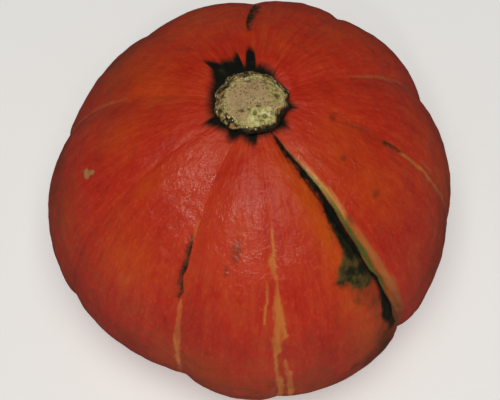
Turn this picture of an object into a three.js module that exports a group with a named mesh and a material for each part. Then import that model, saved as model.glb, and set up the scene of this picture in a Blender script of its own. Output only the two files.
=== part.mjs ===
// A red kabocha squash, picked, with its short corky stem cut across.
// Millimetres, +Z up through the stem, front towards -Y. The squash stands on the flattened
// undersides of its ribs, and the origin is the middle of its footprint on that plane.
// Azimuths are in degrees from the front, turning towards +X. Polar angles are in degrees
// from the stem: 0 at the stem, 90 at the equator and 180 at the blossom end.
import * as THREE from "three";

// Driving dimensions of the fruit
const EQUATOR_RADIUS = 90;
const SHOULDER_HEIGHT = 84; // equator to the top of the shoulders
const BASE_DEPTH = 66; // equator to the lowest point, before it is flattened
const TOP_FULLNESS = 1.95; // superellipse exponents: 2 is an ellipse, more is squarer
const BASE_FULLNESS = 2.2;
const FLAT_LIFT = 3.4; // how much of the base is flattened where the ribs rest

// The ten furrows in order round the fruit, each with the rib that follows it. A furrow runs from
// one azimuth at the stem to another at the equator. Valley and crown are the heights of the
// furrow's floor and of the rib's crest over the plain body, lean tips the crest towards the far
// furrow, and crease is a narrow extra groove.
const RIBS = [
  { atStem: 9, atEquator: 7, valley: 1.2, crease: 0.4, crown: 2.2, lean: -1.5 },
  { atStem: 33, atEquator: 48, valley: -1.2, crease: 2.6, crown: -1.0, lean: -1.5 },
  { atStem: 85, atEquator: 82, valley: -1.6, crease: 0.8, crown: -0.4, lean: 0 },
  { atStem: 117, atEquator: 116, valley: -1.6, crease: 0.8, crown: 3.0, lean: 2.5 },
  { atStem: 151, atEquator: 151, valley: 1.8, crease: 0.4, crown: 2.8, lean: -2.5 },
  { atStem: 181, atEquator: 179, valley: 0.6, crease: 0.9, crown: 1.0, lean: -1 },
  { atStem: 218, atEquator: 218, valley: -0.8, crease: 0.5, crown: -1.0, lean: -2 },
  { atStem: 257, atEquator: 257, valley: -2.2, crease: 0.8, crown: 2.0, lean: 3.5 },
  { atStem: 300, atEquator: 300, valley: 0.2, crease: 0.5, crown: -1.8, lean: -6.5 },
  { atStem: 333, atEquator: 340, valley: -4.0, crease: 0.6, crown: 0.8, lean: 5.5 },
];
const CROWN_ROUNDNESS = 0.85; // under 1, the crest is broad and the valley is tight
const CREASE_WIDTH = 4.5;
const FURROW_TURN = { from: 10, over: 80 }; // polar angles over which a furrow changes azimuth
const RELIEF_GROWTH = 0.6; // how fast the relief grows away from each pole
const RELIEF_START = { top: 12, base: 8 }; // radius at each pole inside which there is no relief

// Hollow round the stem, hollow at the blossom end and the blossom scar in it
const STEM_DIP = { depth: 3, radius: 17 };
const BLOSSOM_DIP = { depth: 6, radius: 17 };
const BLOSSOM_SCAR = { height: 1.4, radius: 5.5 };

// Stem, and the plain socket in the fruit where its root stands
const SOCKET_RADIUS = 13.5;
const SOCKET_DEPTH = 4.5;
const ROOT_GAP = 0.3;
const ROOT_TOP = 0.9; // height of the root's upper edge over the fruit's pole, just out of the socket
const STEM_FOOT = { x: -1.1, y: 1.3 }; // how far the foot of the side stands off the axis
const STEM_CUT = { x: 0.6, y: -2.1 }; // how far the cut face stands off the axis
const CUT_SLOPE = 0.09; // the cut drops by this share of the way towards the front
const STEM_OVAL = 0.045; // the cut is wider from side to side by this share
const STEM_CORK = 0.45; // height of the corky lumps on the side
const STEM_RIDGES = { count: 10, height: 0.35 };
// Radius of the side at each height over the fruit's pole, from the foot to the edge of the cut
const STEM_SIDE = [
  [13.7, 1.2],
  [14.3, 1.9],
  [14.4, 2.9],
  [14.0, 3.9],
  [13.4, 4.9],
  [12.9, 5.8],
  [12.3, 6.6],
  [11.5, 7.0],
];
const CUT_ROWS = [9.0, 6.0, 3.0]; // radii of the rings on the cut face
// Bites out of the stem's side: azimuth, half width in degrees and depth at the cut
const STEM_NOTCHES = [
  { azimuth: 66, halfWidth: 14, depth: 2.8 },
  { azimuth: 143, halfWidth: 15, depth: 1.8 },
];

// Mesh fineness
const RIB_STEPS = [0, 0.035, 0.09, 0.17, 0.3, 0.5, 0.7, 0.83, 0.91, 0.965]; // across one rib
const BLOSSOM_ROWS = [0, 1.1, 2.1, 2.7, 3.8, 5.6, 8, 10.5, 13, 15.5, 18]; // degrees from the blossom end
const POLAR_ROWS = 44; // rows in all from the blossom end to the edge of the socket's rim
const STEM_SEGMENTS = 60;

const radians = THREE.MathUtils.degToRad;
const { clamp, lerp } = THREE.MathUtils;
const smooth = (u) => u * u * (3 - 2 * u);

// Azimuth of a furrow at a polar angle. Furrow 10 is furrow 0 after a full turn.
function furrowAzimuth(index, polar) {
  const rib = RIBS[index % RIBS.length];
  const share = clamp((polar - FURROW_TURN.from) / FURROW_TURN.over, 0, 1);
  return lerp(rib.atStem, rib.atEquator, share) + (index >= RIBS.length ? 360 : 0);
}

// Plain body without ribs: radius, height and outward normal at a polar angle.
function bodyAt(polar) {
  const angle = radians(polar);
  const top = polar <= 90;
  const height = top ? SHOULDER_HEIGHT : BASE_DEPTH;
  const power = 2 / (top ? TOP_FULLNESS : BASE_FULLNESS);
  const radius = EQUATOR_RADIUS * Math.sin(angle) ** power;
  const z = (top ? height : -height) * Math.abs(Math.cos(angle)) ** power;
  const normal = new THREE.Vector2(
    Math.sin(angle) / EQUATOR_RADIUS,
    Math.cos(angle) / height,
  ).normalize();
  return { radius, z, normal };
}

// Height of the relief over the plain body, at a share u of the way across a rib.
function reliefAt(index, u, polar, radius) {
  const rib = RIBS[index];
  const next = RIBS[(index + 1) % RIBS.length];
  const width =
    radians(furrowAzimuth(index + 1, polar) - furrowAzimuth(index, polar)) * radius;
  const crest = Math.sin(Math.PI * u) ** CROWN_ROUNDNESS;
  const valley = lerp(rib.valley, next.valley, smooth(u));
  const groove =
    rib.crease * Math.exp(-(((u * width) / CREASE_WIDTH) ** 2)) +
    next.crease * Math.exp(-((((1 - u) * width) / CREASE_WIDTH) ** 2));
  const start = polar < 90 ? RELIEF_START.top : RELIEF_START.base;
  const growth = clamp((radius - start) / (EQUATOR_RADIUS - start), 0, 1) ** RELIEF_GROWTH;
  const crown = rib.crown + rib.lean * (u - 0.5);
  return ((1 - crest) * valley + crest * crown - groove) * growth;
}

// A point of the rind as radius and height, at a share u of the way across a rib.
function rindAt(index, u, polar) {
  const body = bodyAt(polar);
  const relief = reliefAt(index, u, polar, body.radius);
  const radius = body.radius + body.normal.x * relief;
  let z = body.z + body.normal.y * relief;
  if (polar < 90) {
    z -= STEM_DIP.depth * Math.exp(-((radius / STEM_DIP.radius) ** 2));
  } else {
    z += BLOSSOM_DIP.depth * Math.exp(-((radius / BLOSSOM_DIP.radius) ** 2));
    z -= BLOSSOM_SCAR.height * Math.exp(-((radius / BLOSSOM_SCAR.radius) ** 6));
  }
  return { radius, z: Math.max(z, FLAT_LIFT - BASE_DEPTH) };
}

// Spins a profile with LatheGeometry, then moves each vertex to where place(row, column) puts it.
function sculptedLathe(rows, segments, place) {
  const profile = Array.from({ length: rows }, (_, row) => new THREE.Vector2(1, row));
  const geometry = new THREE.LatheGeometry(profile, segments);
  const position = geometry.getAttribute("position");
  for (let i = 0; i < position.count; i++) {
    const column = Math.floor(i / rows) % segments;
    const { radius, z, azimuth, dx = 0, dy = 0 } = place(i % rows, column);
    const angle = radians(azimuth);
    position.setXYZ(i, radius * Math.sin(angle) + dx, -radius * Math.cos(angle) + dy, z);
  }
  geometry.deleteAttribute("normal");
  geometry.deleteAttribute("uv");
  geometry.computeVertexNormals();
  return geometry;
}

const POLE_HEIGHT = SHOULDER_HEIGHT - STEM_DIP.depth; // the fruit's height at its axis, had it no socket
const SOCKET_FLOOR = POLE_HEIGHT - SOCKET_DEPTH;

// The fruit, row by row from the blossom end up to the stem and down into the socket.
function fruitGeometry() {
  const rimPolar = 10.5;
  const near = BLOSSOM_ROWS.length;
  const polarAt = (row) => {
    if (row < near) return 180 - BLOSSOM_ROWS[row];
    const share = (row - near + 1) / (POLAR_ROWS - near);
    return lerp(180 - BLOSSOM_ROWS[near - 1], rimPolar, Math.min(share, 1));
  };
  const columns = RIBS.length * RIB_STEPS.length;
  const rows = POLAR_ROWS + 3;
  return sculptedLathe(rows, columns, (row, column) => {
    const index = Math.floor(column / RIB_STEPS.length);
    const u = RIB_STEPS[column % RIB_STEPS.length];
    const polar = polarAt(row);
    const azimuth = lerp(furrowAzimuth(index, polar), furrowAzimuth(index + 1, polar), u);
    if (row === 0) return { radius: 0, z: rindAt(0, 0, 180).z, azimuth };
    const rind = rindAt(index, u, polar);
    if (row < POLAR_ROWS) return { ...rind, azimuth };
    if (row === POLAR_ROWS) return { radius: SOCKET_RADIUS, z: rind.z + 0.1, azimuth };
    const floorRadius = row === POLAR_ROWS + 1 ? SOCKET_RADIUS : 0;
    return { radius: floorRadius, z: SOCKET_FLOOR, azimuth };
  });
}

// Corky lumps, as a sum of waves that don't line up with each other.
function corkAt(azimuth, height) {
  const a = radians(azimuth);
  return (
    0.45 * Math.sin(7 * a + 0.9 * height) +
    0.35 * Math.sin(13 * a - 1.7 * height + 1.1) +
    0.3 * Math.cos(19 * a + 2.3 * height + 0.4)
  );
}

// How deep the notches bite at an azimuth.
function notchAt(azimuth) {
  const bite = ({ azimuth: middle, halfWidth, depth }) => {
    const away = Math.abs(((azimuth - middle + 540) % 360) - 180);
    return depth * Math.exp(-((away / halfWidth) ** 2));
  };
  return STEM_NOTCHES.reduce((sum, notch) => sum + bite(notch), 0);
}

// The stem, row by row from the middle of its root, out and up its side, to the middle of the cut.
function stemGeometry() {
  const rootRadius = SOCKET_RADIUS - ROOT_GAP;
  const rootRows = [
    [0, -SOCKET_DEPTH + ROOT_GAP],
    [rootRadius, -SOCKET_DEPTH + ROOT_GAP],
    [rootRadius, ROOT_TOP],
  ];
  const cutHeight = STEM_SIDE.at(-1)[1];
  const cutRows = [...CUT_ROWS, 0].map((radius) => [radius, cutHeight]);
  const outline = [...rootRows, ...STEM_SIDE, ...cutRows];
  const sideFrom = rootRows.length;
  const cutFrom = sideFrom + STEM_SIDE.length;
  return sculptedLathe(outline.length, STEM_SEGMENTS, (row, column) => {
    const azimuth = (column * 360) / STEM_SEGMENTS;
    const [plainRadius, height] = outline[row];
    if (row < sideFrom) return { radius: plainRadius, z: POLE_HEIGHT + height, azimuth };
    const rise = height / cutHeight;
    const reach = row < cutFrom ? 1 : plainRadius / STEM_SIDE.at(-1)[0];
    const cork = row < cutFrom - 1 ? STEM_CORK * corkAt(azimuth, height) * Math.min(1, 2 * rise) : 0;
    const ridge = STEM_RIDGES.height * Math.cos(radians(STEM_RIDGES.count * azimuth)) * reach;
    const oval = 1 - STEM_OVAL * rise * Math.cos(radians(2 * azimuth));
    const radius = plainRadius * oval + cork + (ridge - notchAt(azimuth) * reach) * rise;
    const drop = CUT_SLOPE * radius * Math.cos(radians(azimuth)) * rise ** 3;
    return {
      radius: plainRadius === 0 ? 0 : radius,
      z: POLE_HEIGHT + height - (plainRadius === 0 ? 0 : drop),
      azimuth,
      dx: lerp(STEM_FOOT.x, STEM_CUT.x, rise),
      dy: lerp(STEM_FOOT.y, STEM_CUT.y, rise),
    };
  });
}

const rindMaterial = new THREE.MeshStandardMaterial({
  color: new THREE.Color().setRGB(0.52, 0.05, 0.015),
  roughness: 0.42,
  metalness: 0,
});
const corkMaterial = new THREE.MeshStandardMaterial({
  color: new THREE.Color().setRGB(0.36, 0.27, 0.13),
  roughness: 0.85,
  metalness: 0,
});

const fruit = new THREE.Mesh(fruitGeometry(), rindMaterial);
fruit.name = "fruit";
const stem = new THREE.Mesh(stemGeometry(), corkMaterial);
stem.name = "stem";

// The fruit's bounding box puts the origin at the middle of the footprint, on the resting plane.
fruit.geometry.computeBoundingBox();
const box = fruit.geometry.boundingBox;
const squash = new THREE.Group();
squash.add(fruit, stem);
for (const mesh of squash.children) {
  mesh.position.set(
    -(box.min.x + box.max.x) / 2,
    -(box.min.y + box.max.y) / 2,
    -box.min.z,
  );
}

export default squash;
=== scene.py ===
"""The looks of a red kabocha squash with its cut, corky stem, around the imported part.

Shapes are in millimetres and turned into metres when a mesh is made. Azimuths are in degrees
from the front, turning towards +X. Polar angles are in degrees from the stem: 0 at the stem, 90 at
the equator and 180 at the blossom end. Heights are over the equator until the fruit is placed.
"""

import math

import bpy
import numpy as np
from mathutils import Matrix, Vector, noise


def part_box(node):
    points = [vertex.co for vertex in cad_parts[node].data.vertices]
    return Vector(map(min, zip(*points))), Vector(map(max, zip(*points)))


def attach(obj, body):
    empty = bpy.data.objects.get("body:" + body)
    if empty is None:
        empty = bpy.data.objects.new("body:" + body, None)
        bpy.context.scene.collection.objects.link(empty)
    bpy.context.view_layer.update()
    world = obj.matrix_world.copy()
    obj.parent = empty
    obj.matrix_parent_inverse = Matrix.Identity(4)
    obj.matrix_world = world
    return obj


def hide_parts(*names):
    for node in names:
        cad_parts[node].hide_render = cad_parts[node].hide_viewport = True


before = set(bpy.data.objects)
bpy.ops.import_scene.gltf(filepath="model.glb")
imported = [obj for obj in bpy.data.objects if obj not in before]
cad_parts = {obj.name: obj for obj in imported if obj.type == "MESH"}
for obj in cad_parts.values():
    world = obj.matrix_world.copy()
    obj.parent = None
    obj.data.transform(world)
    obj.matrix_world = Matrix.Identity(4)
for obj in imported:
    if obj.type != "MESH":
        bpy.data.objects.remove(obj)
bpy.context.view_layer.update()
MM = 0.001

# The fruit's shape, as in the part's source
EQUATOR_RADIUS = 90
SHOULDER_HEIGHT = 84
BASE_DEPTH = 66
TOP_FULLNESS = 1.95
BASE_FULLNESS = 2.2
FLAT_LIFT = 3.4
# Each furrow with the rib that follows it: azimuth at the stem and at the equator, height of the
# furrow's floor, depth of its crease, height of the rib's crest and how far that leans
RIBS = [
    (9, 7, 1.2, 0.4, 2.2, -1.5),
    (33, 48, -1.2, 2.6, -1.0, -1.5),
    (85, 82, -1.6, 0.8, -0.4, 0),
    (117, 116, -1.6, 0.8, 3.0, 2.5),
    (151, 151, 1.8, 0.4, 2.8, -2.5),
    (181, 179, 0.6, 0.9, 1.0, -1),
    (218, 218, -0.8, 0.5, -1.0, -2),
    (257, 257, -2.2, 0.8, 2.0, 3.5),
    (300, 300, 0.2, 0.5, -1.8, -6.5),
    (333, 340, -4.0, 0.6, 0.8, 5.5),
]
CROWN_ROUNDNESS = 0.85
CREASE_WIDTH = 4.5
FURROW_TURN_FROM, FURROW_TURN_OVER = 10, 80
RELIEF_GROWTH = 0.6
RELIEF_START_TOP, RELIEF_START_BASE = 12, 8
STEM_DIP_DEPTH, STEM_DIP_RADIUS = 3, 17
BLOSSOM_DIP_DEPTH, BLOSSOM_DIP_RADIUS = 6, 17
BLOSSOM_SCAR_HEIGHT, BLOSSOM_SCAR_RADIUS = 1.4, 5.5
SOCKET_RADIUS = 13.5
SOCKET_DEPTH = 4.5
POLE_HEIGHT = SHOULDER_HEIGHT - STEM_DIP_DEPTH

# Finer forms of the rind that only this script makes
MAIN_FURROW = 1
MAIN_CUT_DEPTH, MAIN_CUT_WIDTH = 0.9, 1.0
MAIN_LIP_HEIGHT, MAIN_LIP_PLACE, MAIN_LIP_WIDTH = 0.6, 3.2, 2.4
# Radii between which the cut and the lip begin, and polar angles between which they fade
MAIN_BEGINS = (18, 34)
MAIN_FADES = (105, 140)
WAVE_HEIGHT, WAVE_SIZE = 0.5, 36
DIMPLE_HEIGHT, DIMPLE_SIZE = 0.42, 12
PEBBLE_HEIGHT, PEBBLE_SIZE = 0.26, 5
FOLD_HEIGHT, FOLD_ROUND, FOLD_LENGTH = 0.14, 26, 7
FOLD_LEVEL = 0.55
FOLD_FADES = (18.2, 52)
# How far outside the socket the finer forms reach their full height
RIM_EASE = 5

# Mesh fineness
FRUIT_COLUMNS = 400
FRUIT_ROWS = 240
COLUMN_CROWDING = 0.45
RIM_POLAR = 9.0
STEM_COLUMNS = 260
STEM_ROWS = 46
STEM_MIDDLE_RADIUS = 0.25

# Stem, with heights over the fruit's pole
STEM_FOOT = (-1.1, 1.3)
STEM_CUT = (0.6, -2.1)
CUT_SLOPE = 0.09
STEM_OVAL = 0.045
ROOT_RADIUS = 13.1
ROOT_GAP, ROOT_TOP = 0.3, 0.1
# Radius and height of the side from the foot up
STEM_SIDE = [
    (14.5, 0.0), (14.6, 1.9), (14.4, 2.9), (13.9, 3.9),
    (13.3, 4.9), (12.8, 5.8), (12.3, 6.5), (11.6, 7.0),
]
# Bites in the side: azimuth, half width in degrees and depth
STEM_NOTCHES = [(66, 13, 3.0), (144, 15, 1.0)]
# Heights and sizes of the side's roughness, which is read at this radius or further out
ROUGH_RADIUS = 6
CORK_HEIGHT, CORK_SIZE = 0.75, 3.4
WART_HEIGHT, WART_SIZE = 0.4, 1.5
RIDGE_HEIGHT, RIDGE_COUNT = 0.35, 10
RIDGE_WANDER, RIDGE_WANDER_SIZE = 1.5, 6.0
RAGGED_HEIGHT, RAGGED_SIZE = 0.55, 2.6
# Heights and sizes of the cut face's relief, and how far its edge is rolled down
FACE_WAVE_HEIGHT, FACE_WAVE_SIZE = 0.16, 4.2
FACE_HOLE_DEPTH, FACE_HOLE_SIZE, FACE_HOLE_LEVEL = 0.5, 1.3, 0.42
FACE_ROLL, FACE_ROLL_WIDTH = 0.55, 1.1
# How far the foot is sunk in the rind, and how fast it rises out of it
FOOT_SINK, FOOT_RISE = 0.45, 0.9
# Darker pits and stains on the cut face: place and half widths in mm from the fruit's axis
FACE_PITS = [
    (7.0, 6.4, 3.2, 1.0), (0.9, -7.2, 0.8, 1.3), (4.8, -8.6, 0.9, 1.0), (2.3, -4.2, 1.0, 0.5),
    (7.6, -7.2, 0.8, 1.0), (-2.0, 6.6, 1.1, 0.7), (9.4, 0.2, 1.0, 0.7), (-4.4, -6.4, 1.1, 0.6),
]

# Camera, found from the outline and the stem's place in the photo
CAMERA_ELEVATION = 63
CAMERA_DISTANCE = 585
CAMERA_LENS = 92.7
AIM_RIGHT, AIM_UP = -1.1, -1.0

# Lights, world and floor, in metres. The light is warm, so the floor is a little blue
LIGHT_COLOUR = (1.0, 0.955, 0.82)
LIGHT_TARGET = (0, 0, 0.09)
WORLD_COLOUR, WORLD_STRENGTH = (1.0, 0.97, 0.88, 1), 0.04
FLOOR_HALF = 3.0
FLOOR_TONES = [(0.3, (0.86, 0.88, 0.96, 1)), (0.7, (0.88, 0.90, 0.98, 1))]
FLOOR_GLOW, FLOOR_GLOW_STRENGTH = (0.96, 0.98, 1, 1), 0.2

# How far outside and inside its edges a streak or the star is measured, in mm
OUTSIDE, INSIDE = 9.0, 3.0
# How far a streak's left edge wanders, as a share of its width, and the size of its bends in mm
WANDER_SHARE, WANDER_SIZE = 0.28, 5.0
# How far from the main furrow the paint can tell the distance, in mm
BESIDE_REACH = 20


def smooth(t):
    """Eases from 0 to 1."""
    return t * t * (3 - 2 * t)


def step(value, low, high):
    """0 under low, 1 over high, and eased in between."""
    return smooth(np.clip((value - low) / (high - low), 0, 1))


def lumps(points, size, seed, octaves=1):
    """Smooth seeded noise at each point, about -1 to 1, with lumps of this size."""
    shift = Vector((17.3, -9.1, 5.7)) * seed
    flat = points.reshape(-1, 3) / size
    values = [noise.fractal(Vector(p) + shift, 1.0, 2.0, octaves) for p in flat]
    return np.array(values).reshape(points.shape[:-1])


def towards(azimuth):
    """Directions from the axis in plan, at azimuths in degrees."""
    angle = np.radians(azimuth)
    return np.stack([np.sin(angle), -np.cos(angle)], -1)


def furrow_azimuth(index, polar):
    """Azimuth of a furrow at polar angles. Furrow 10 is furrow 0 after a full turn."""
    at_stem, at_equator = RIBS[index % len(RIBS)][:2]
    share = np.clip((polar - FURROW_TURN_FROM) / FURROW_TURN_OVER, 0, 1)
    turn = 360 if index >= len(RIBS) else 0
    return at_stem + (at_equator - at_stem) * share + turn


def body_at(polar):
    """Radius, height and outward normal of the plain body without ribs."""
    angle = np.radians(polar)
    top = polar <= 90
    height = np.where(top, SHOULDER_HEIGHT, BASE_DEPTH)
    power = 2 / np.where(top, TOP_FULLNESS, BASE_FULLNESS)
    radius = EQUATOR_RADIUS * np.abs(np.sin(angle)) ** power
    z = np.where(top, height, -height) * np.abs(np.cos(angle)) ** power
    normal = np.stack([np.sin(angle) / EQUATOR_RADIUS, np.cos(angle) / height])
    return radius, z, normal / np.linalg.norm(normal, axis=0)


def fruit_columns():
    """Rib and share of the way across it for each column, with columns closer at the furrows."""
    ribs, shares = [], []
    for index in range(len(RIBS)):
        width = float(furrow_azimuth(index + 1, 60.0) - furrow_azimuth(index, 60.0))
        count = round(FRUIT_COLUMNS * width / 360)
        t = np.arange(count) / count
        shares.append(t - COLUMN_CROWDING * np.sin(2 * np.pi * t) / (2 * np.pi))
        ribs.append(np.full(count, index))
    return np.concatenate(ribs), np.concatenate(shares)


def fruit_rows():
    """Polar angle of each row from the blossom end up, and its distance along the rind from the stem."""
    fine = np.linspace(180, RIM_POLAR, 4000)
    radius, z, _ = body_at(fine)
    length = np.concatenate([[0], np.cumsum(np.hypot(np.diff(radius), np.diff(z)))])
    even = np.linspace(0, length[-1], FRUIT_ROWS)
    # The lowest row is a small ring, because the pole has a point of its own
    even[0] = even[1] / 2
    return np.interp(even, length, fine), length[-1] - even


def relief(ribs, shares, polar, radius):
    """Azimuth of each point of the rind, and its height over the plain body."""
    azimuth = np.zeros((len(polar), len(ribs)))
    height = np.zeros_like(azimuth)
    start = np.where(polar < 90, RELIEF_START_TOP, RELIEF_START_BASE)
    growth = np.clip((radius - start) / (EQUATOR_RADIUS - start), 0, 1) ** RELIEF_GROWTH
    for index, (_, _, valley, crease, crown, lean) in enumerate(RIBS):
        here = ribs == index
        u = shares[here][None, :]
        first = furrow_azimuth(index, polar)[:, None]
        last = furrow_azimuth(index + 1, polar)[:, None]
        azimuth[:, here] = first + (last - first) * u
        width = np.radians(last - first) * radius[:, None]
        _, _, next_valley, next_crease, _, _ = RIBS[(index + 1) % len(RIBS)]
        crest = np.sin(np.pi * u) ** CROWN_ROUNDNESS
        floor = valley + (next_valley - valley) * smooth(u)
        groove = crease * np.exp(-((u * width / CREASE_WIDTH) ** 2))
        groove = groove + next_crease * np.exp(-(((1 - u) * width / CREASE_WIDTH) ** 2))
        top = crown + lean * (u - 0.5)
        height[:, here] = ((1 - crest) * floor + crest * top - groove) * growth[:, None]
    return azimuth, height


def across_furrow(index, azimuth, polar, radius):
    """Distance from a furrow in mm, positive on its +azimuth side."""
    away = azimuth - furrow_azimuth(index, polar)[:, None]
    away = (away + 180) % 360 - 180
    return np.radians(away) * radius[:, None]


def dipped(radius, z, polar):
    """Height after the hollows at the stem and at the blossom end, and its scar."""
    at_stem = z - STEM_DIP_DEPTH * np.exp(-((radius / STEM_DIP_RADIUS) ** 2))
    at_base = z + BLOSSOM_DIP_DEPTH * np.exp(-((radius / BLOSSOM_DIP_RADIUS) ** 2))
    at_base = at_base - BLOSSOM_SCAR_HEIGHT * np.exp(-((radius / BLOSSOM_SCAR_RADIUS) ** 6))
    return np.where(polar < 90, at_stem, at_base)


def outward(points):
    """Outward normals of a grid of points that closes round its columns."""
    round_it = np.roll(points, -1, 1) - np.roll(points, 1, 1)
    up_it = np.gradient(points, axis=0)
    normal = np.cross(round_it, up_it)
    return normal / np.maximum(np.linalg.norm(normal, axis=-1, keepdims=True), 1e-9)


def fine_relief(points, azimuth, polar, radius, along):
    """Height of the forms that are finer than the ribs."""
    angle = np.radians(azimuth)
    folding = np.stack([np.cos(angle), np.sin(angle), np.zeros_like(angle)], -1) * FOLD_ROUND
    folding[..., 2] = (along / FOLD_LENGTH)[:, None]
    fold = FOLD_LEVEL - np.abs(lumps(folding, 1.0, 4, 2)) * 2
    near_stem = 1 - step(radius, *FOLD_FADES)[:, None]
    total = WAVE_HEIGHT * lumps(points, WAVE_SIZE, 1)
    total += DIMPLE_HEIGHT * lumps(points, DIMPLE_SIZE, 2, 2)
    total += PEBBLE_HEIGHT * lumps(points, PEBBLE_SIZE, 3, 2)
    total += FOLD_HEIGHT * fold * near_stem
    across = across_furrow(MAIN_FURROW, azimuth, polar, radius)
    grown = step(radius, *MAIN_BEGINS)[:, None] * (1 - step(polar, *MAIN_FADES))[:, None]
    total -= MAIN_CUT_DEPTH * np.exp(-((across / MAIN_CUT_WIDTH) ** 2)) * grown
    lip = np.exp(-(((across - MAIN_LIP_PLACE) / MAIN_LIP_WIDTH) ** 2))
    total += MAIN_LIP_HEIGHT * lip * grown
    return total * step(radius, SOCKET_RADIUS, SOCKET_RADIUS + RIM_EASE)[:, None]


# Streaks: the furrow that each follows, then its polar angle and its left and right edges in mm
# from that furrow, from the stem down. Left is towards the lower azimuth.
DARK_STREAKS = [
    (1, [(7, -2.2, -0.4), (9, -1.8, 0), (11.5, -1.3, 0.4), (15, -1.6, 0.2), (18, -1.7, 0.7),
         (21.5, -1.2, 1.2), (25, -0.9, 1.5), (29, -0.7, 2.1), (31.5, -1.3, 2.1), (35, -2.6, 2),
         (38.5, -4, 1.3),
         (42, -5.8, 0.9), (45.4, -6.2, 0.7), (47.8, -9, 0.6), (50, -12.4, 0.5), (52.4, -16.2, -0.2),
         (54, -17.2, -0.5), (56, -13.4, -1), (58, -9.5, -0.6), (59.4, -4.6, 0.2), (61.2, -2.4, 0.3),
         (64.5, -3.8, -0.6), (68.4, -6.4, -1.2), (72.2, -9.1, -1.5), (75.4, -9.6, -1.9), (79, -8.6, -4.1),
         (82, -7.8, -5)]),
    (9, [(39.4, -1.6, -0.8), (41.6, -2.2, -0.1), (43, -2.7, 0), (45.2, -2.6, -0.1), (47.4, -2.1, 0),
         (49.4, -2, -0.5), (50.8, -1.9, -1.3), (52.4, -1.8, -0.7), (54, -2, -0.1), (56, -1.8, 0.1),
         (58, -2.3, -1.4)]),
    (5, [(27, 0.9, 1.9), (31, 0.3, 2.7), (37, -1.3, 2.1), (44, -2.6, 0.4), (49, -2.6, -0.4)]),
    (2, [(38.2, -1.6, -0.9), (40.4, -2.4, -0.7), (42.4, -2.4, -0.7), (45, -1.8, -1)]),
    (6, [(70, -0.7, 0.2), (74, -1.6, 0.7), (80, -1.4, 0.2), (86, -0.6, 0)]),
]
PALE_STREAKS = [
    (0, [(34, -0.3, 0.2), (36.7, -0.4, 0.6), (40, -0.8, 0.9), (41.6, -2.3, 0.6), (44.5, -1.9, 0.3),
         (46.2, -1.4, 0.4), (47, -0.4, 0.8), (49.5, -0.3, 0.9), (52, -1.4, 1.4), (56, -1.7, 2),
         (60, -2, 2.7), (63, -2.6, 2.8), (64.2, -2.7, 3.9), (65.2, -2.6, 1.9), (68, -2.4, 0.7),
         (70.2, -2.4, 0.6), (71, -2.3, -1), (77, -1.9, -0.5), (81, -1.3, 0.4), (84, -1.2, 2),
         (91, 0.2, 2.4), (104, -0.2, 1.8), (122, -0.4, 0.6)]),
    (9, [(34.4, -0.9, -0.3), (36.4, -1.1, 0.1), (38, -1.1, 0.3), (40, -1.3, -0.6)]),
    (9, [(58.4, -1, -0.2), (61, -1.5, 0.3), (66, -1.5, 0.6), (70, -2.1, 0.8), (76, -2.4, 0.5),
         (83, -2.5, -0.3), (90, -2.6, -1.2)]),
    (2, [(44.2, -2.7, -1.3), (50, -3.3, -1.4), (59, -4, -1.8), (67, -4, -1.6), (76, -3, 0),
         (92, -1.4, 0.6), (112, -0.6, 0.4)]),
    (5, [(54, -1.4, -0.6), (62, -1.8, 0.2), (74, -1.6, 1.2), (90, -0.8, 1), (110, -0.4, 0.4)]),
    (6, [(85, -0.6, 0), (90, -1.2, 0.5), (98, -0.9, 1.1), (106, -1.2, 0.4), (118, -0.5, 0.1)]),
    (4, [(66, -0.3, 0.3), (74, -0.9, 0.7), (88, -1.5, 0.6), (102, -0.4, 0.3)]),
    (8, [(100, -0.2, 0.3), (106, -0.6, 0.8), (114, -1, 0.5), (126, -0.3, 0.1)]),
]
# Small pale streaks close beside the others
PALE_BITS = [
    (0, [(73, 1.9, 2.7), (75.5, 1.8, 3.6), (78, 2.6, 3.6), (79, 2.2, 5.6), (81, 3, 5.2), (92, 4.6, 6.8),
         (108, 5, 6)]),
    (0, [(47, -3.8, -3.4), (50, -4.1, -3.1), (53.2, -4.3, -3.5), (54, -5.3, -4.3), (56, -5.6, -4.6),
         (59.4, -6, -5.3)]),
]
DIM_STREAKS = [
    (0, [(88, -2.4, -1.8), (94, -2.6, -1.2), (102, -2.4, -1.6)]),
    (9, [(86, -2.6, -0.6), (98, -2.8, -0.8), (112, -2, -1.2)]),
    (2, [(53.6, 1.2, 2), (56, 0.8, 2), (60, 0.2, 1.2)]),
    (3, [(30, -0.3, 0.3), (36, -0.7, 0.6), (48, -0.8, 0.8), (60, -1.2, 0.6), (75, -1, 0.9),
         (98, -0.4, 0.3)]),
    (7, [(38, -1.7, -1.2), (44, -2, -0.8), (54, -2, -0.5), (66, -1.4, 0.3), (88, -1.2, 0.7),
         (104, -0.2, 0.2)]),
]
LIME_STREAKS = [
    (1, [(13, 0, 0.5), (15.5, 0, 0.8), (19, 0.6, 1.4), (22.4, 1.1, 2.1), (26, 1.4, 2.7), (29.4, 2, 3.3),
         (33, 2, 3.5), (36, 1.8, 3.2), (39, 1.2, 2.8), (42.6, 0.7, 2.9), (46, 0.6, 2.4), (50, 0.5, 2.7),
         (54, -0.5, 1.9), (57.6, -1.2, 0.9), (60, 0, 1.6), (64.5, -0.7, 1.2), (67, -1.2, 0.4),
         (70, -1.4, 0), (76, -2.2, -0.7), (82, -4.6, -2.6), (88, -5.4, -4.2)]),
]
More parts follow.
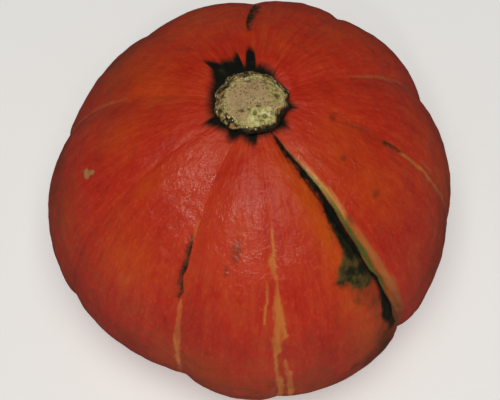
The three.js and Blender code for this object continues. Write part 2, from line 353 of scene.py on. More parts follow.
AMBER_STREAKS = [
    (1, [(20, 1.4, 1.8), (22.6, 1.9, 2.6), (26.6, 2.6, 4), (30, 3.2, 4.9), (33.4, 3.4, 4.8),
         (36.5, 3, 4.5), (39.5, 2.6, 4), (43, 2.6, 4.6), (47, 2.2, 4.8), (51.5, 2.4, 5.2), (56, 1.2, 5.1),
         (62, 1.2, 4.9), (66.6, 0.4, 4.9), (70, -0.2, 4.4), (76, -1, 3.2), (84, -3, 1.8), (96, -4.6, 0.9),
         (116, -3, -0.6)]),
]
FAINT_STREAKS = [
    (2, [(25, -0.6, 0), (28.5, -1, 0.3), (33, -1.1, 0.4), (36.8, -1.6, -0.2), (39, -1.7, -0.8)]),
    (1, [(70, -12, -4), (80, -15, -6), (90, -17, -7), (104, -14, -6), (120, -8, -5)]),
    (1, [(56, -15, -10), (62, -15, -5), (68, -9, -5)]),
]
STREAKS = {
    "dark": DARK_STREAKS, "pale": PALE_STREAKS, "bits": PALE_BITS, "dim": DIM_STREAKS,
    "lime": LIME_STREAKS, "amber": AMBER_STREAKS, "faint": FAINT_STREAKS,
}

# The dark star round the stem: how far it reaches from the axis at each azimuth, in mm
STAR = [
    (3, 17.8), (9, 13.6), (31, 14.2), (41, 14.2), (55, 16.4), (65, 13.2), (78, 13.2), (87, 16.8),
    (99, 13.4), (125, 12.4), (145, 14.2), (149, 16.6), (158, 17), (169, 18.2), (176, 17.6),
    (179, 26), (183, 28.6), (186, 26), (188.5, 19), (192, 18), (194.7, 25.6), (201, 22.6),
    (214, 24.2), (221, 30.4), (223.5, 23.4), (235, 19), (251, 17.8), (267, 16.8), (289, 16.4),
    (293.7, 20.6), (303, 17.5), (318, 15.3), (331, 17.6), (343, 14.2),
]

# Round marks: azimuth, polar angle, radius across and radius along in mm
DARK_SPOTS = [
    (84.6, 21.8, 2, 1.6), (61.6, 27.9, 1.6, 1.4), (58.7, 40.8, 2.2, 1.9), (42.8, 40.2, 1.4, 2.6),
    (353.9, 39.6, 2, 4.6), (350.8, 45, 1, 2.4), (41.5, 65.5, 1.3, 1), (128, 52, 1, 1.4),
    (38.5, 89, 9, 14), (41, 81, 5, 6), (33.4, 92, 4.6, 9), (28.4, 88.6, 2.4, 2.2),
    (236, 58, 0.9, 0.9), (196, 74, 1.2, 0.8), (279, 82, 0.9, 1.2), (164, 100, 1.3, 1),
]
SCARS = [(283.9, 50.3, 2.7, 1.9), (284.9, 48.3, 1.4, 1.7), (208, 83, 1.5, 2.3), (101, 96, 1.8, 1.1)]
SPOTS = {"spots": DARK_SPOTS, "scars": SCARS}

# Where the skin is more orange: azimuth, polar angle, half width across and along in mm, strength
WARM_AREAS = [
    (31, 30, 6, 24, 0.9), (32, 56, 8, 22, 0.75), (36, 78, 12, 20, 0.7), (60, 40, 14, 18, 0.45),
    (316, 54, 12, 16, 0.4), (290, 66, 14, 12, 0.3), (306, 34, 5, 9, 0.45), (240, 44, 20, 22, 0.4),
    (196, 46, 26, 20, 0.35), (140, 48, 22, 20, 0.3), (345, 84, 18, 14, 0.5), (10, 92, 22, 14, 0.45),
    (90, 66, 18, 24, 0.35), (72, 24, 14, 10, 0.35), (276, 38, 8, 12, 0.4), (250, 30, 8, 12, 0.35),
]
# Where it is duller and browner, given in the same way
DULL_AREAS = [
    (272, 70, 30, 14, 0.8), (232, 58, 26, 15, 0.7), (252, 44, 14, 9, 0.35), (196, 62, 34, 12, 0.6),
    (150, 60, 28, 14, 0.55), (104, 70, 26, 14, 0.6), (78, 80, 24, 14, 0.8), (60, 84, 12, 20, 0.5),
    (304, 84, 24, 14, 0.4), (284, 64, 10, 10, 0.2), (37, 68, 5, 8, 0.5), (28, 96, 14, 10, 0.5),
]
# Where it is waxier, and where its colour is lighter and pinker as painted sheen, given in the same way
WAX_AND_SHEEN_AREAS = [
    (343, 34, 20, 19, 1), (355, 44, 24, 8, 1), (38, 23, 6, 9, 1), (315, 24, 10, 12, 0.6),
    (30, 46, 14, 12, 0.2), (70, 34, 18, 16, 0.3), (200, 34, 24, 18, 0.6), (120, 40, 22, 20, 0.5),
    (262, 48, 20, 16, 0.5), (160, 70, 24, 16, 0.5),
]
AREAS = {"warm": WARM_AREAS, "dull": DULL_AREAS, "wax_and_sheen": WAX_AND_SHEEN_AREAS}


def streak_fields(streaks, azimuth, polar, radius, along, wander):
    """For the streak that each point is most inside, the distances in mm to its left edge, its right
    edge and its nearer end. They are positive inside. The left edge wanders by a share of the width."""
    best = np.full(azimuth.shape + (3,), -OUTSIDE)
    down = np.argsort(polar)
    for furrow, knots in streaks:
        knots = np.array(knots, float)
        across = across_furrow(furrow, azimuth, polar, radius)
        left = np.interp(polar, knots[:, 0], knots[:, 1])[:, None]
        right = np.interp(polar, knots[:, 0], knots[:, 2])[:, None]
        left = left + WANDER_SHARE * (right - left) * wander
        first, last = np.interp(knots[[0, -1], 0], polar[down], along[down])
        ends = np.minimum(along - first, last - along)[:, None] + 0 * across
        slope = np.gradient(np.interp(polar, knots[:, 0], knots[:, 1]), along)[:, None]
        from_left = (across - left) / np.hypot(1, slope)
        field = np.clip(np.stack([from_left, right - across, ends], -1), -OUTSIDE, INSIDE)
        better = field.min(-1) > best.min(-1)
        best[better] = field[better]
    return best


def star_field(azimuth, radius):
    """How far inside the dark star each point is, in mm."""
    knots = np.array(STAR)
    reach = np.interp(azimuth % 360, knots[:, 0], knots[:, 1], period=360)
    return np.clip(reach - radius[:, None], -OUTSIDE, INSIDE)


def oval_distance(place, azimuth, polar, radius, along):
    """Distance from a place on the rind, in half widths of an oval round it."""
    at_azimuth, at_polar, half_across, half_along = place
    down = np.argsort(polar)
    away = (azimuth - at_azimuth + 180) % 360 - 180
    across = np.radians(away) * radius[:, None] / half_across
    distance = (along - np.interp(at_polar, polar[down], along[down])) / half_along
    return np.hypot(across, distance[:, None])


def spot_field(spots, *where):
    """1 in the middle of a round mark, 0 on its edge and less outside."""
    return np.clip(1 - np.min([oval_distance(spot, *where) for spot in spots], 0), -3, 1)


def area_field(areas, *where):
    """How strong the areas are at each point, from 0 to 1."""
    total = sum(strength * np.exp(-oval_distance(place, *where) ** 2) for *place, strength in areas)
    return np.clip(total, 0, 1)


def added(name, data):
    """A new object in the scene."""
    thing = bpy.data.objects.new(name, data)
    bpy.context.scene.collection.objects.link(thing)
    return thing


def closed_grid(name, grid, low_pole, high_pole):
    """A mesh object of rows of points that close round, with a point at each end. Rows run from the
    low end, and columns anticlockwise seen from the top."""
    rows, columns = grid.shape[:2]
    points = np.concatenate([grid.reshape(-1, 3), [low_pole], [high_pole]]) * MM
    here = np.arange(rows * columns).reshape(rows, columns)
    following = np.roll(here, -1, 1)
    quads = np.stack([here[:-1], following[:-1], following[1:], here[1:]], -1).reshape(-1, 4)
    low = [(rows * columns, b, a) for a, b in zip(here[0], following[0])]
    high = [(a, b, rows * columns + 1) for a, b in zip(here[-1], following[-1])]
    mesh = bpy.data.meshes.new(name)
    mesh.from_pydata(points.tolist(), [], quads.tolist() + low + high)
    mesh.shade_smooth()
    return added(name, mesh)


def paint_field(piece, name, values, low_value, high_value):
    """Stores a number or a vector for each point, and for the points at the two ends."""
    flat = values.reshape(-1, 3) if values.ndim == 3 else values.reshape(-1)
    flat = np.concatenate([flat, [low_value], [high_value]])
    kind, key = ("FLOAT_VECTOR", "vector") if flat.ndim == 2 else ("FLOAT", "value")
    attribute = piece.data.attributes.new(name, kind, "POINT")
    attribute.data.foreach_set(key, flat.astype(np.float32).ravel())


def smooth_rind(ribs, shares, polar):
    """Azimuth, radius and points of the rind with its ribs and no finer forms."""
    radius, z, normal = body_at(polar)
    azimuth, height = relief(ribs, shares, polar, radius)
    reach = radius[:, None] + normal[0][:, None] * height
    level = dipped(reach, z[:, None] + normal[1][:, None] * height, polar[:, None])
    points = np.concatenate([towards(azimuth) * reach[..., None], level[..., None]], -1)
    return azimuth, radius, points


def placed(points):
    """Moves points from the fruit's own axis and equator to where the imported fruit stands."""
    return points + AXIS_PLACE


def with_socket(points, azimuth):
    """The rows of the rind and the socket, and the points at both ends, all placed."""
    rim = towards(azimuth[-1]) * SOCKET_RADIUS
    floor_height = POLE_HEIGHT - SOCKET_DEPTH
    mouth = np.concatenate([rim, points[-1, :, 2:]], -1)
    wall = np.concatenate([rim, np.full((len(rim), 1), floor_height)], -1)
    grid = placed(np.concatenate([points, mouth[None], wall[None]]))
    low = placed(np.array([0, 0, points[0, 0, 2]]))
    high = placed(np.array([0, 0, floor_height]))
    return grid, low, high


def rind_fields(points, azimuth, polar, radius, along):
    """What the rind's paint reads at each point."""
    where = (azimuth, polar, radius, along)
    length = np.broadcast_to(along[:, None, None], azimuth.shape + (1,))
    beside = across_furrow(MAIN_FURROW, azimuth, polar, radius)
    wander = lumps(points, WANDER_SIZE, 5, 2)
    fields = {
        "grain": np.concatenate([towards(azimuth) * EQUATOR_RADIUS, length], -1),
        "polar": np.broadcast_to(polar[:, None], azimuth.shape),
        "beside": np.clip(beside, -BESIDE_REACH, BESIDE_REACH),
        "star": star_field(azimuth, radius),
    }
    for name, streaks in STREAKS.items():
        fields[name] = streak_fields(streaks, *where, wander)
    for name, spots in SPOTS.items():
        fields[name] = spot_field(spots, *where)
    for name, areas in AREAS.items():
        fields[name] = area_field(areas, *where)
    return fields


def make_fruit(material):
    """The fruit: ribs, fine relief, socket under the stem, and the fields for its paint."""
    ribs, shares = fruit_columns()
    polar, along = fruit_rows()
    azimuth, radius, points = smooth_rind(ribs, shares, polar)
    fine = fine_relief(points, azimuth, polar, radius, along)
    points = points + outward(points) * fine[..., None]
    points[..., 2] = np.maximum(points[..., 2], FLAT_LIFT - BASE_DEPTH)
    grid, low, high = with_socket(points, azimuth)
    piece = closed_grid("squash_fruit", grid, low, high)
    for name, values in rind_fields(points, azimuth, polar, radius, along).items():
        # The socket's two rows take the values of the rind's last row
        spread = np.concatenate([values, values[-1:], values[-1:]])
        paint_field(piece, name, spread, spread[0, 0], spread[-1, 0])
    piece.data.materials.append(material)
    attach(piece, "root")
    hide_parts("fruit")


def notch_depth(azimuth):
    """How deep the bites in the stem's side are at each azimuth."""
    total = np.zeros_like(azimuth)
    for middle, half_width, depth in STEM_NOTCHES:
        away = (azimuth - middle + 180) % 360 - 180
        total += depth * np.exp(-((away / half_width) ** 2))
    return total


def rind_height(radius):
    """Height of the rind near the stem, where the ribs have no relief yet."""
    share = (radius / EQUATOR_RADIUS) ** TOP_FULLNESS
    plain = SHOULDER_HEIGHT * (1 - share) ** (1 / TOP_FULLNESS)
    return plain - STEM_DIP_DEPTH * np.exp(-((radius / STEM_DIP_RADIUS) ** 2))


def stem_outline():
    """Radius, height over the pole and distance in from the cut's edge, for each row of the stem."""
    side = np.array(STEM_SIDE)
    length = np.concatenate([[0], np.cumsum(np.hypot(*np.diff(side, axis=0).T))])
    even = np.linspace(0, length[-1], STEM_ROWS)
    side_radius = np.interp(even, length, side[:, 0])
    side_height = np.interp(even, length, side[:, 1])
    face_radius = np.linspace(side_radius[-1], STEM_MIDDLE_RADIUS, STEM_ROWS)[1:]
    radius = np.concatenate([side_radius, face_radius])
    height = np.concatenate([side_height, np.full(len(face_radius), side_height[-1])])
    inward = np.concatenate([even - even[-1], side_radius[-1] - face_radius])
    return radius, height, inward


def side_relief(plain_radius, height, inward, azimuth):
    """How far the warts, the ridges, the ragged cut and the bites move the stem's side outwards."""
    rise = (height / height[-1])[:, None]
    reach = np.where(inward > 0, plain_radius / STEM_SIDE[-1][0], 1)[:, None]
    rough = np.zeros((len(height), STEM_COLUMNS, 3))
    rough[..., :2] = towards(azimuth)[None] * np.maximum(plain_radius, ROUGH_RADIUS)[:, None, None]
    rough[..., 2] = height[:, None]
    cork = CORK_HEIGHT * lumps(rough, CORK_SIZE, 11, 2)
    cork += WART_HEIGHT * np.abs(lumps(rough, WART_SIZE, 12, 2))
    bent = RIDGE_COUNT * np.radians(azimuth) + RIDGE_WANDER * lumps(rough, RIDGE_WANDER_SIZE, 13)
    ridge = RIDGE_HEIGHT * np.cos(bent) * reach
    ragged = RAGGED_HEIGHT * lumps(rough * [1, 1, 0.2], RAGGED_SIZE, 14, 2) * step(rise, 0.6, 0.95)
    bites = notch_depth(azimuth)[None] * rise ** 1.5
    on_side = step(-inward, 0.0, 0.8)[:, None]
    return cork * on_side + (ridge + ragged - bites) * reach


def face_relief(flat, inward):
    """Height of the cut face's waves and holes and of its rolled edge."""
    waves = FACE_WAVE_HEIGHT * lumps(flat, FACE_WAVE_SIZE, 15, 2)
    holes = np.clip(np.abs(lumps(flat, FACE_HOLE_SIZE, 16)) - FACE_HOLE_LEVEL, 0, 1)
    face = (waves - FACE_HOLE_DEPTH * holes) * step(inward, 0.4, 2)[:, None]
    rolled = -FACE_ROLL * np.exp(-((inward / FACE_ROLL_WIDTH) ** 2)) * (inward > 0)
    return face + rolled[:, None]


def root_ring(azimuth, level):
    """One row of points round the stem's root."""
    return np.concatenate([towards(azimuth) * ROOT_RADIUS, np.full((STEM_COLUMNS, 1), level)], -1)[None]


def stem_points(plain_radius, height, inward, azimuth):
    """Points of the stem's side and cut face. The foot follows the rind."""
    angle = np.radians(azimuth)
    rise = (height / height[-1])[:, None]
    oval = 1 - STEM_OVAL * rise * np.cos(2 * angle)
    radius = plain_radius[:, None] * oval + side_relief(plain_radius, height, inward, azimuth)
    lean = [foot + (cut - foot) * rise for foot, cut in zip(STEM_FOOT, STEM_CUT)]
    x = radius * np.sin(angle) + lean[0]
    y = -radius * np.cos(angle) + lean[1]
    slope = -CUT_SLOPE * radius * np.cos(angle) * rise ** 3
    flat = np.stack([x, y, 0 * x], -1)
    free = POLE_HEIGHT + height[:, None] + slope + face_relief(flat, inward)
    on_rind = rind_height(np.hypot(x, y)) - FOOT_SINK + height[:, None] * FOOT_RISE
    drape = 1 - step(rise, 0.02, 0.3)
    return np.stack([x, y, free * (1 - drape) + on_rind * drape], -1)


def make_stem(material):
    """The corky stem with its root, and the fields for its paint."""
    plain_radius, height, inward = stem_outline()
    azimuth = np.arange(STEM_COLUMNS) * 360 / STEM_COLUMNS
    points = stem_points(plain_radius, height, inward, azimuth)
    root_floor = POLE_HEIGHT - SOCKET_DEPTH + ROOT_GAP
    root = [root_ring(azimuth, root_floor), root_ring(azimuth, POLE_HEIGHT + ROOT_TOP)]
    grid = placed(np.concatenate(root + [points]))
    low = placed(np.array([0, 0, root_floor]))
    piece = closed_grid("squash_stem", grid, low, grid[-1].mean(0))
    inside = np.broadcast_to(inward[:, None], points.shape[:2])
    flat = points * [1, 1, 0]
    # The root's two rows take the values of the foot
    inside = np.concatenate([inside[:1], inside[:1], inside])
    flat = np.concatenate([flat[:1], flat[:1], flat])
    paint_field(piece, "inward", inside, inside[0, 0], inside[-1, 0])
    paint_field(piece, "cut_place", flat, flat[0, 0], flat[-1].mean(0))
    piece.data.materials.append(material)
    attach(piece, "root")
    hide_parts("stem")


def linear(colour):
    """Linear colour of three parts from 0 to 255 as on screen. One of four parts is linear already."""
    if len(colour) == 4:
        return colour
    parts = [c / 255 for c in colour]
    return [c / 12.92 if c <= 0.04045 else ((c + 0.055) / 1.055) ** 2.4 for c in parts] + [1]


class Paint:
    """A node material with one Principled shader, and short names for the nodes that it uses."""

    def __init__(self, name):
        self.material = bpy.data.materials.new(name)
        self.material.use_nodes = True
        self.tree = self.material.node_tree
        self.shader = self.tree.nodes["Principled BSDF"]
        self.place = self.tree.nodes.new("ShaderNodeTexCoord").outputs["Object"]

    def put(self, socket, value):
        """Sets a socket to a value or links it to another node's output."""
        if isinstance(value, bpy.types.NodeSocket):
            self.tree.links.new(value, socket)
        elif value is not None:
            socket.default_value = value

    def set(self, name, value):
        """Sets or links an input of the shader."""
        self.put(self.shader.inputs[name], value)

    def add(self, kind, inputs=(), **settings):
        """Adds a node, with its settings and the values of its inputs by place."""
        node = self.tree.nodes.new(kind)
        for key, value in settings.items():
            setattr(node, key, value)
        for place, value in dict(inputs).items():
            self.put(node.inputs[place], value)
        return node

    def field(self, name, output="Fac"):
        """What paint_field stored under this name."""
        return self.add("ShaderNodeAttribute", attribute_name=name).outputs[output]

    def math(self, operation, first, second=None, third=None):
        """One operation on up to three numbers."""
        inputs = {0: first, 1: second, 2: third}
        return self.add("ShaderNodeMath", inputs, operation=operation).outputs[0]

    def plus(self, first, second):
        return self.math("ADD", first, second)

    def times(self, first, second):
        return self.math("MULTIPLY", first, second)

    def most(self, first, second):
        return self.math("MAXIMUM", first, second)

    def centred(self, value, spread=1.0):
        """Moves 0 to 1 so that it lies round 0 with this spread."""
        return self.math("MULTIPLY_ADD", value, spread, -0.5 * spread)

    def parts(self, vector):
        return self.add("ShaderNodeSeparateXYZ", {0: vector}).outputs

    def scaled(self, vector, factors):
        return self.add("ShaderNodeVectorMath", {0: vector, 1: factors}, operation="MULTIPLY").outputs[0]

    def noise(self, scale, detail=2, roughness=0.5, distortion=0, by=None):
        """Noise from 0 to 1, by place on the object or by another vector."""
        inputs = {"Scale": scale, "Detail": detail, "Roughness": roughness, "Distortion": distortion}
        inputs["Vector"] = self.place if by is None else by
        return self.add("ShaderNodeTexNoise", inputs).outputs["Fac"]

    def cells(self, vector, scale, dimensions="3D"):
        """Distance to the nearest of scattered points, in cells."""
        inputs = {"Vector": vector, "Scale": scale}
        return self.add("ShaderNodeTexVoronoi", inputs, voronoi_dimensions=dimensions).outputs["Distance"]

    def oval(self, place, middle, half, ragged, strength):
        """Distance from the middle of an oval in half widths, with a ragged edge."""
        x, y, _ = self.parts(place)
        across = self.math("DIVIDE", self.math("SUBTRACT", x, middle[0]), half[0])
        along = self.math("DIVIDE", self.math("SUBTRACT", y, middle[1]), half[1])
        squares = self.plus(self.times(across, across), self.times(along, along))
        return self.plus(self.math("SQRT", squares), self.centred(ragged, strength))

    def between(self, value, low, high, to_low=0.0, to_high=1.0):
        """Eases from one value to another as the input goes from low to high."""
        inputs = {0: value, 1: low, 2: high, 3: to_low, 4: to_high}
        return self.add("ShaderNodeMapRange", inputs, interpolation_type="SMOOTHSTEP").outputs[0]

    def mix(self, factor, first, second):
        """One colour over another."""
        node = self.add("ShaderNodeMix", data_type="RGBA")
        for place, value in (("Factor_Float", factor), ("A_Color", first), ("B_Color", second)):
            socket = next(s for s in node.inputs if s.identifier == place)
            self.put(socket, linear(value) if isinstance(value, tuple) else value)
        return next(s for s in node.outputs if s.identifier == "Result_Color")

    def ramp(self, value, stops):
        """A colour for each value, eased between the stops."""
        node = self.add("ShaderNodeValToRGB", {"Fac": value})
        elements = node.color_ramp.elements
        node.color_ramp.interpolation = "EASE"
        while len(elements) < len(stops):
            elements.new(0.5)
        for element, (position, colour) in zip(elements, stops):
            element.position = position
            element.color = linear(colour)
        return node.outputs["Color"]

    def bump(self, height, distance, normal=None):
        """A normal that follows a height, with 1 as this many metres."""
        inputs = {"Height": height, "Distance": distance, "Strength": 1, "Normal": normal}
        return self.add("ShaderNodeBump", inputs).outputs["Normal"]

    def inside(self, name, ragged, soft, soft_right=None):
        """1 inside the streaks of a field and 0 outside, with edges as ragged and soft as given in mm.
        The right edge may have its own softness, which scales its raggedness too."""
        left, right, ends = self.parts(self.field(name, "Vector"))
        soft_right = soft_right or soft
        right_ragged = self.times(ragged, soft_right / soft)
        left = self.between(self.plus(left, ragged), -soft, soft)
        right = self.between(self.plus(right, right_ragged), -soft_right, soft_right)
        ends = self.between(self.plus(ends, ragged), -soft, soft)
        return self.math("MINIMUM", self.math("MINIMUM", left, right), ends)


class RindPaint(Paint):
    """The rind's paint, with the patterns that its markings share."""

    def __init__(self):
        super().__init__("rind")
        self.grain = self.field("grain", "Vector")
        self.polar = self.field("polar")
        self.wax_and_sheen = self.field("wax_and_sheen")
        self.long_grain = self.scaled(self.grain, (1, 1, 0.22))
        self.medium = self.noise(120, 3, 0.6, 0.4)
        self.streaky = self.noise(0.26, 3, 0.6, by=self.long_grain)
        self.wide = self.centred(self.noise(0.3, by=self.long_grain))
        self.small = self.centred(self.noise(900, 3, 0.65))
        self.ragged = self.plus(self.times(self.wide, 1.6), self.times(self.small, 1.3))
        self.feathered = self.plus(self.times(self.wide, 4.5), self.times(self.small, 3))

    def patchy(self, share, least, most):
        """A share that is weaker in patches along the grain."""
        return self.times(share, self.between(self.streaky, 0.34, 0.6, least, most))

    def mottled_skin(self):
        """Deep red to orange, with fine flecks along the grain, and lighter and pinker as painted sheen
        where it is waxier.
        """
        broad = self.noise(34, 2, 0.55)
        ripeness = self.plus(self.times(broad, 0.36), self.times(self.medium, 0.2))
        ripeness = self.plus(ripeness, self.times(self.streaky, 0.44))
        skin = self.ramp(ripeness, [
            (0.36, (174, 33, 20)), (0.48, (188, 43, 25)), (0.58, (195, 57, 29)), (0.70, (200, 80, 36)),
        ])
        warmth = self.times(self.field("warm"), self.between(self.medium, 0.2, 0.75, 0.45, 1.15))
        skin = self.mix(warmth, skin, (204, 84, 14))
        # Painted sheen: the skin turns lighter and pinker in the waxy areas
        skin = self.mix(self.between(self.wax_and_sheen, 0.15, 1, 0, 0.45), skin, (212, 70, 36))
        flecks = self.noise(0.85, 2, 0.6, by=self.scaled(self.grain, (1, 1, 0.45)))
        skin = self.mix(self.between(flecks, 0.52, 0.74, 0, 0.34), skin, (212, 92, 40))
        return self.mix(self.between(flecks, 0.28, 0.46, 0.22, 0), skin, (150, 26, 10))

    def dulled_and_shaded(self, skin):
        """The faint brown streaks, the browner skin of the dull areas, and painted shade that makes the
        skin browner and darker lower down.
        """
        faint = self.inside("faint", self.feathered, 2.4)
        faint = self.times(faint, self.between(self.medium, 0.35, 0.65, 0.2, 0.75))
        skin = self.mix(faint, skin, (112, 52, 20))
        # Painted shade: browner and darker from below the shoulder downwards
        painted_shade_low = self.between(self.plus(self.polar, self.centred(self.medium, 90)), 55, 110, 0, 0.5)
        browned = self.times(self.field("dull"), self.between(self.streaky, 0.3, 0.66, 0.15, 1))
        # One brown serves both the dull areas and the painted shade
        return self.mix(self.most(painted_shade_low, browned), skin, (118, 58, 30))

    def with_pale_streaks(self, skin):
        """The dim and the pale streaks of the furrows. The pale ones are brushed at their edges."""
        dim = self.patchy(self.inside("dim", self.ragged, 0.7), 0.3, 0.7)
        skin = self.mix(dim, skin, (178, 102, 66))
        brushed = self.centred(self.noise(1.4, 2, 0.6, by=self.long_grain), 2.2)
        pale = self.most(self.inside("pale", brushed, 0.7), self.inside("bits", self.small, 0.6))
        return self.mix(self.patchy(pale, 0.45, 0.9), skin, (206, 122, 56))

    def by_polar(self, changes, colour):
        """A colour that changes on the way down: from where, to where and to which."""
        for first, last, following in changes:
            colour = self.mix(self.between(self.polar, first, last), colour, following)
        return colour

    def with_main_edge(self, skin):
        """The amber edge of the main furrow and the green one within it."""
        amber = self.patchy(self.inside("amber", self.ragged, 1.2), 0.6, 0.95)
        skin = self.mix(amber, skin, self.by_polar([
            (33, 45, (184, 108, 54)),
            (60, 84, (150, 90, 50)),
        ], (212, 150, 78)))
        lime = self.patchy(self.inside("lime", self.small, 0.5), 0.75, 1)
        return self.mix(lime, skin, self.by_polar([
            (17, 25, (150, 132, 64)),
            (29, 37, (96, 102, 44)),
            (56, 72, (108, 92, 46)),
        ], (104, 84, 36)))

    def dark_shares(self):
        """Where the dark streaks and the star are, and where the halo round them is."""
        uneven = self.plus(self.centred(self.medium, 5), self.small)
        dark = self.inside("dark", self.plus(self.ragged, uneven), 1.5, 0.35)
        star = self.plus(self.field("star"), self.times(self.feathered, 0.5))
        dark = self.most(dark, self.between(star, -3.2, 1.6))
        halo = self.most(self.inside("dark", self.feathered, 2.6, 0.5), self.between(star, -4, 0.5))
        return dark, halo

    def dark_colour(self):
        """Nearly black green, mossy in the blotch left of the main furrow, browner far from it."""
        green = self.ramp(self.noise(260, 3, 0.6), [
            (0.44, (10, 12, 9)), (0.60, (17, 20, 13)), (0.78, (50, 48, 24)),
        ])
        beside = self.field("beside")
        blotch = self.between(self.plus(beside, self.times(self.wide, 6)), -5.5, -1.8, 1, 0)
        blotch = self.times(blotch, self.between(self.polar, 34, 44))
        blotch = self.times(blotch, self.between(self.polar, 59, 67, 1, 0.12))
        green = self.mix(blotch, green, self.ramp(self.noise(190), [
            (0.34, (32, 32, 19)), (0.64, (90, 74, 35)),
        ]))
        apart = self.between(self.math("ABSOLUTE", beside), 14, 19)
        apart = self.times(apart, self.between(self.polar, 24, 29))
        return self.mix(apart, green, self.ramp(self.noise(420), [
            (0.36, (28, 24, 16)), (0.62, (78, 48, 25)),
        ]))

    def with_spots(self, skin):
        """The dark spots and the small corky scars, and the share of the scars."""
        spot = self.between(self.plus(self.field("spots"), self.small), -0.6, 0.8, 0, 0.5)
        skin = self.mix(spot, skin, (58, 40, 18))
        scar = self.between(self.plus(self.field("scars"), self.small), -0.1, 0.35)
        return self.mix(self.times(scar, 0.85), skin, (170, 132, 84)), scar

    def with_base(self, skin):
        """The paler skin low down and the blossom end's corky scar, and that scar's share."""
        low_down = self.between(self.plus(self.polar, self.times(self.wide, 30)), 118, 168, 0, 0.55)
        skin = self.mix(low_down, skin, (196, 98, 34))
        blossom = self.between(self.plus(self.polar, self.times(self.small, 2.4)), 176.6, 177.6)
        cork = self.ramp(self.medium, [(0.4, (96, 72, 46)), (0.6, (158, 134, 96))])
        return self.mix(blossom, skin, cork), blossom

    def set_gloss(self, dry):
        """Satin skin with patchy wax, and dry marks without it."""
        patches = self.noise(150, 3, 0.6)
        rough = self.plus(self.between(patches, 0.3, 0.7, 0.5, 0.62), self.times(dry, 0.35))
        self.set("Roughness", rough)
        self.set("Specular IOR Level", 0.2)
        wax = self.between(patches, 0.34, 0.68, 0.25, 1)
        wax = self.times(wax, self.math("SUBTRACT", 1, dry))
        wax = self.times(wax, self.between(self.wax_and_sheen, 0, 1, 0.14, 0.8))
        self.set("Coat Weight", wax)
        self.set("Coat Roughness", 0.19)

    def set_bumps(self):
        """Pores and pebbles, deeper in the wax, which is crinkled near the stem."""
        near_stem = self.between(self.parts(self.grain)[2], 14, 50, 1, 0.15)
        crinkles = self.noise(0.16, 1, 0.5, 0.6, by=self.grain)
        crinkled = self.bump(self.times(crinkles, near_stem), 0.0004)
        calm = self.between(self.polar, 48, 84, 1, 0.4)
        pebbles = self.times(self.noise(230, 1.5, 0.5, 0.6), calm)
        pores = self.noise(1000, 2, 0.6)
        self.set("Normal", self.bump(pores, 0.0001, self.bump(pebbles, 0.0005)))
        wax = self.bump(pores, 0.0004, self.bump(pebbles, 0.0011, crinkled))
        self.set("Coat Normal", wax)


def rind_material():
    """Waxy red-orange skin with its mottling and all its markings."""
    paint = RindPaint()
    skin = paint.dulled_and_shaded(paint.mottled_skin())
    skin = paint.with_main_edge(paint.with_pale_streaks(skin))
    dark, halo = paint.dark_shares()
    skin = paint.mix(paint.times(halo, 0.35), skin, (96, 46, 18))
    skin = paint.mix(dark, skin, paint.dark_colour())
    skin, scar = paint.with_spots(skin)
    skin, blossom = paint.with_base(skin)
    paint.set("Base Color", skin)
    paint.set_gloss(paint.most(paint.most(scar, blossom), dark))
    paint.set_bumps()
    return paint.material


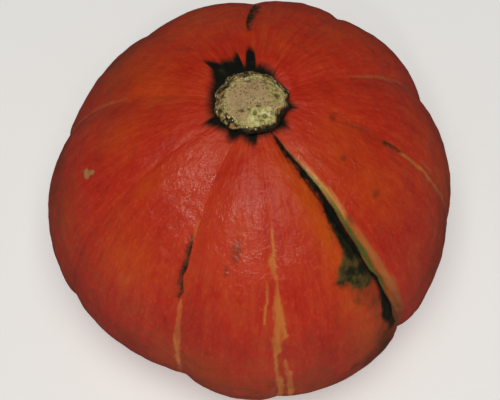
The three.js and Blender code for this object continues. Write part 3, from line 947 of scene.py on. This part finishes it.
class CorkPaint(Paint):
    """The stem's paint, with the patterns that its cut face and its side share."""

    def __init__(self):
        super().__init__("cork")
        self.inward = self.field("inward")
        self.flat = self.field("cut_place", "Vector")
        self.coarse = self.noise(300, 3, 0.6)
        self.fine = self.noise(1500, 3, 0.65)

    def pores(self):
        """Where the fine pores of the cut face are."""
        pore = self.between(self.cells(self.flat, 0.72, "2D"), 0.08, 0.24, 1, 0)
        return self.times(pore, self.between(self.noise(0.2, 1, by=self.flat), 0.42, 0.56))

    def pits(self):
        """Where the pits and stains of the cut face are."""
        pit = 0.0
        for x, y, half_x, half_y in FACE_PITS:
            shape = self.oval(self.flat, (x, y), (half_x, half_y), self.fine, 1.2)
            pit = self.most(pit, self.between(shape, 0.5, 1.35, 0.75, 0))
        return pit

    def cut_face(self, pore, pit):
        """Tan pith with pores, a sappy patch in front, a mossy one at the right and a pale edge."""
        pith = self.ramp(self.plus(self.times(self.coarse, 0.6), self.times(self.fine, 0.4)), [
            (0.36, (158, 132, 98)), (0.52, (184, 157, 118)), (0.66, (200, 180, 134)),
        ])
        pith = self.mix(self.times(pore, 0.7), pith, (62, 48, 32))
        sappy = self.oval(self.flat, (3.6, -9.9), (7, 5.8), self.coarse, 1.8)
        sap_colour = self.ramp(self.noise(0.34, 2, 0.6, 0.5, by=self.flat), [
            (0.32, (110, 102, 58)),
            (0.42, (176, 168, 104)),
            (0.52, (216, 208, 142)),
            (0.64, (238, 232, 188)),
        ])
        face = self.mix(self.between(sappy, 0.8, 1.1, 1, 0), pith, sap_colour)
        mossy = self.oval(self.flat, (10.4, 2.6), (4.6, 8), self.coarse, 1.8)
        moss_colour = self.ramp(self.noise(0.5, 3, 0.6, by=self.flat), [
            (0.38, (118, 112, 62)), (0.50, (164, 150, 90)), (0.62, (198, 184, 124)),
        ])
        face = self.mix(self.between(mossy, 0.75, 1.15, 0.85, 0), face, moss_colour)
        pit_colour = self.ramp(self.fine, [(0.4, (52, 50, 28)), (0.6, (118, 102, 60))])
        face = self.mix(pit, face, pit_colour)
        edging = self.between(self.plus(self.inward, self.centred(self.coarse, 5)), 0.5, 2, 0.85, 0)
        edge_colour = self.ramp(self.fine, [(0.38, (134, 126, 74)), (0.62, (214, 206, 146))])
        return self.mix(edging, face, edge_colour)

    def bark(self):
        """The warty side with flakes and pale specks, with painted shade of its undercut: nearly black
        towards the foot, and over most of its height at the front.
        """
        bark = self.ramp(self.noise(520, 3, 0.6), [
            (0.38, (26, 28, 18)), (0.47, (82, 76, 42)), (0.56, (156, 136, 84)), (0.68, (196, 178, 122)),
        ])
        flake = self.between(self.noise(330), 0.56, 0.62)
        bark = self.mix(self.times(flake, 0.75), bark, (182, 124, 66))
        speck = self.between(self.cells(self.place, 700), 0.16, 0.3, 1, 0)
        speck = self.times(speck, self.between(self.noise(260, 1), 0.42, 0.52))
        bark = self.mix(self.times(speck, 0.9), bark, (236, 232, 206))
        # Painted shade: the side turns nearly black towards the foot, and at the front over most of its
        # height
        x, y, _ = self.parts(self.flat)
        front = self.plus(self.times(y, -1), self.times(x, 0.8))
        depth = self.plus(self.inward, self.between(front, 3, 12, 5.4, 1.1))
        depth = self.plus(depth, self.centred(self.coarse, 3))
        return self.mix(self.between(depth, -1.8, 0, 0.94, 0), bark, (17, 20, 13))


def cork_material():
    """The stem: its warty side and its cut face, both dry and matt."""
    paint = CorkPaint()
    pore, pit = paint.pores(), paint.pits()
    cut = paint.between(paint.plus(paint.inward, paint.centred(paint.fine, 0.8)), -0.3, 0.2)
    colour = paint.mix(cut, paint.bark(), paint.cut_face(pore, pit))
    paint.set("Base Color", colour)
    paint.set("Roughness", 0.78)
    paint.set("Specular IOR Level", 0.35)
    tiny = paint.noise(3600, 2, 0.6)
    holes = paint.plus(paint.times(pore, 1.5), paint.times(pit, 2))
    pitted = paint.bump(paint.math("SUBTRACT", tiny, holes), 0.0002, paint.bump(paint.fine, 0.0004))
    paint.set("Normal", pitted)
    return paint.material


def make_floor():
    """A pale floor far round the squash, with a little glow to be nearer to white."""
    corners = [(-1, -1, 0), (1, -1, 0), (1, 1, 0), (-1, 1, 0)]
    mesh = bpy.data.meshes.new("floor")
    mesh.from_pydata([[FLOOR_HALF * c for c in corner] for corner in corners], [], [(0, 1, 2, 3)])
    floor = added("floor", mesh)
    paint = Paint("floor")
    tone = paint.ramp(paint.noise(6), FLOOR_TONES)
    paint.set("Base Color", tone)
    paint.set("Roughness", 0.9)
    paint.set("Emission Color", FLOOR_GLOW)
    paint.set("Emission Strength", FLOOR_GLOW_STRENGTH)
    floor.data.materials.append(paint.material)
    floor.visible_glossy = False


def look_at(thing, target):
    """Turns a camera or light towards a point."""
    direction = Vector(target) - thing.location
    thing.rotation_euler = direction.to_track_quat("-Z", "Y").to_euler()


def make_light(name, azimuth, elevation, distance, size, power):
    """A square soft light aimed at the squash, in degrees and metres."""
    data = bpy.data.lights.new(name, "AREA")
    data.size = size
    data.energy = power
    data.color = LIGHT_COLOUR
    light = added(name, data)
    e = math.radians(elevation)
    direction = Vector((*towards(azimuth) * math.cos(e), math.sin(e)))
    light.location = Vector(LIGHT_TARGET) + direction * distance
    look_at(light, LIGHT_TARGET)


def make_camera():
    """The camera at the photo's angle, aimed just beside the fruit's axis at the equator."""
    e = math.radians(CAMERA_ELEVATION)
    up = np.array([0, math.sin(e), math.cos(e)])
    back = np.array([0, -math.cos(e), math.sin(e)])
    aim = AXIS_PLACE + up * AIM_UP + (AIM_RIGHT, 0, 0)
    data = bpy.data.cameras.new("camera")
    data.sensor_width = 36
    data.lens = CAMERA_LENS
    camera = added("camera", data)
    camera.location = (AXIS_PLACE + back * CAMERA_DISTANCE) * MM
    look_at(camera, aim * MM)
    bpy.context.scene.camera = camera


def make_world():
    """Weak even light from all round."""
    world = bpy.data.worlds.new("studio")
    world.use_nodes = True
    background = world.node_tree.nodes["Background"]
    background.inputs["Color"].default_value = WORLD_COLOUR
    background.inputs["Strength"].default_value = WORLD_STRENGTH
    bpy.context.scene.world = world


def axis_place():
    """How far the fruit's own axis and equator stand from the frame's origin, in mm."""
    ribs, shares = fruit_columns()
    polar, _ = fruit_rows()
    _, _, points = smooth_rind(ribs, shares, polar)
    middle = (points.reshape(-1, 3).min(0) + points.reshape(-1, 3).max(0)) / 2
    low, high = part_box("fruit")
    packed = np.array(low + high) / 2 / MM
    return np.array([packed[0] - middle[0], packed[1] - middle[1], BASE_DEPTH - FLAT_LIFT])


AXIS_PLACE = axis_place()
make_camera()
make_world()
make_fruit(rind_material())
make_stem(cork_material())
make_floor()
make_light("key", azimuth=-2, elevation=72, distance=2.2, size=1.2, power=33.6)
make_light("fill", azimuth=-6, elevation=50, distance=1.8, size=0.12, power=2.0)
bpy.context.scene.view_settings.view_transform = "Standard"
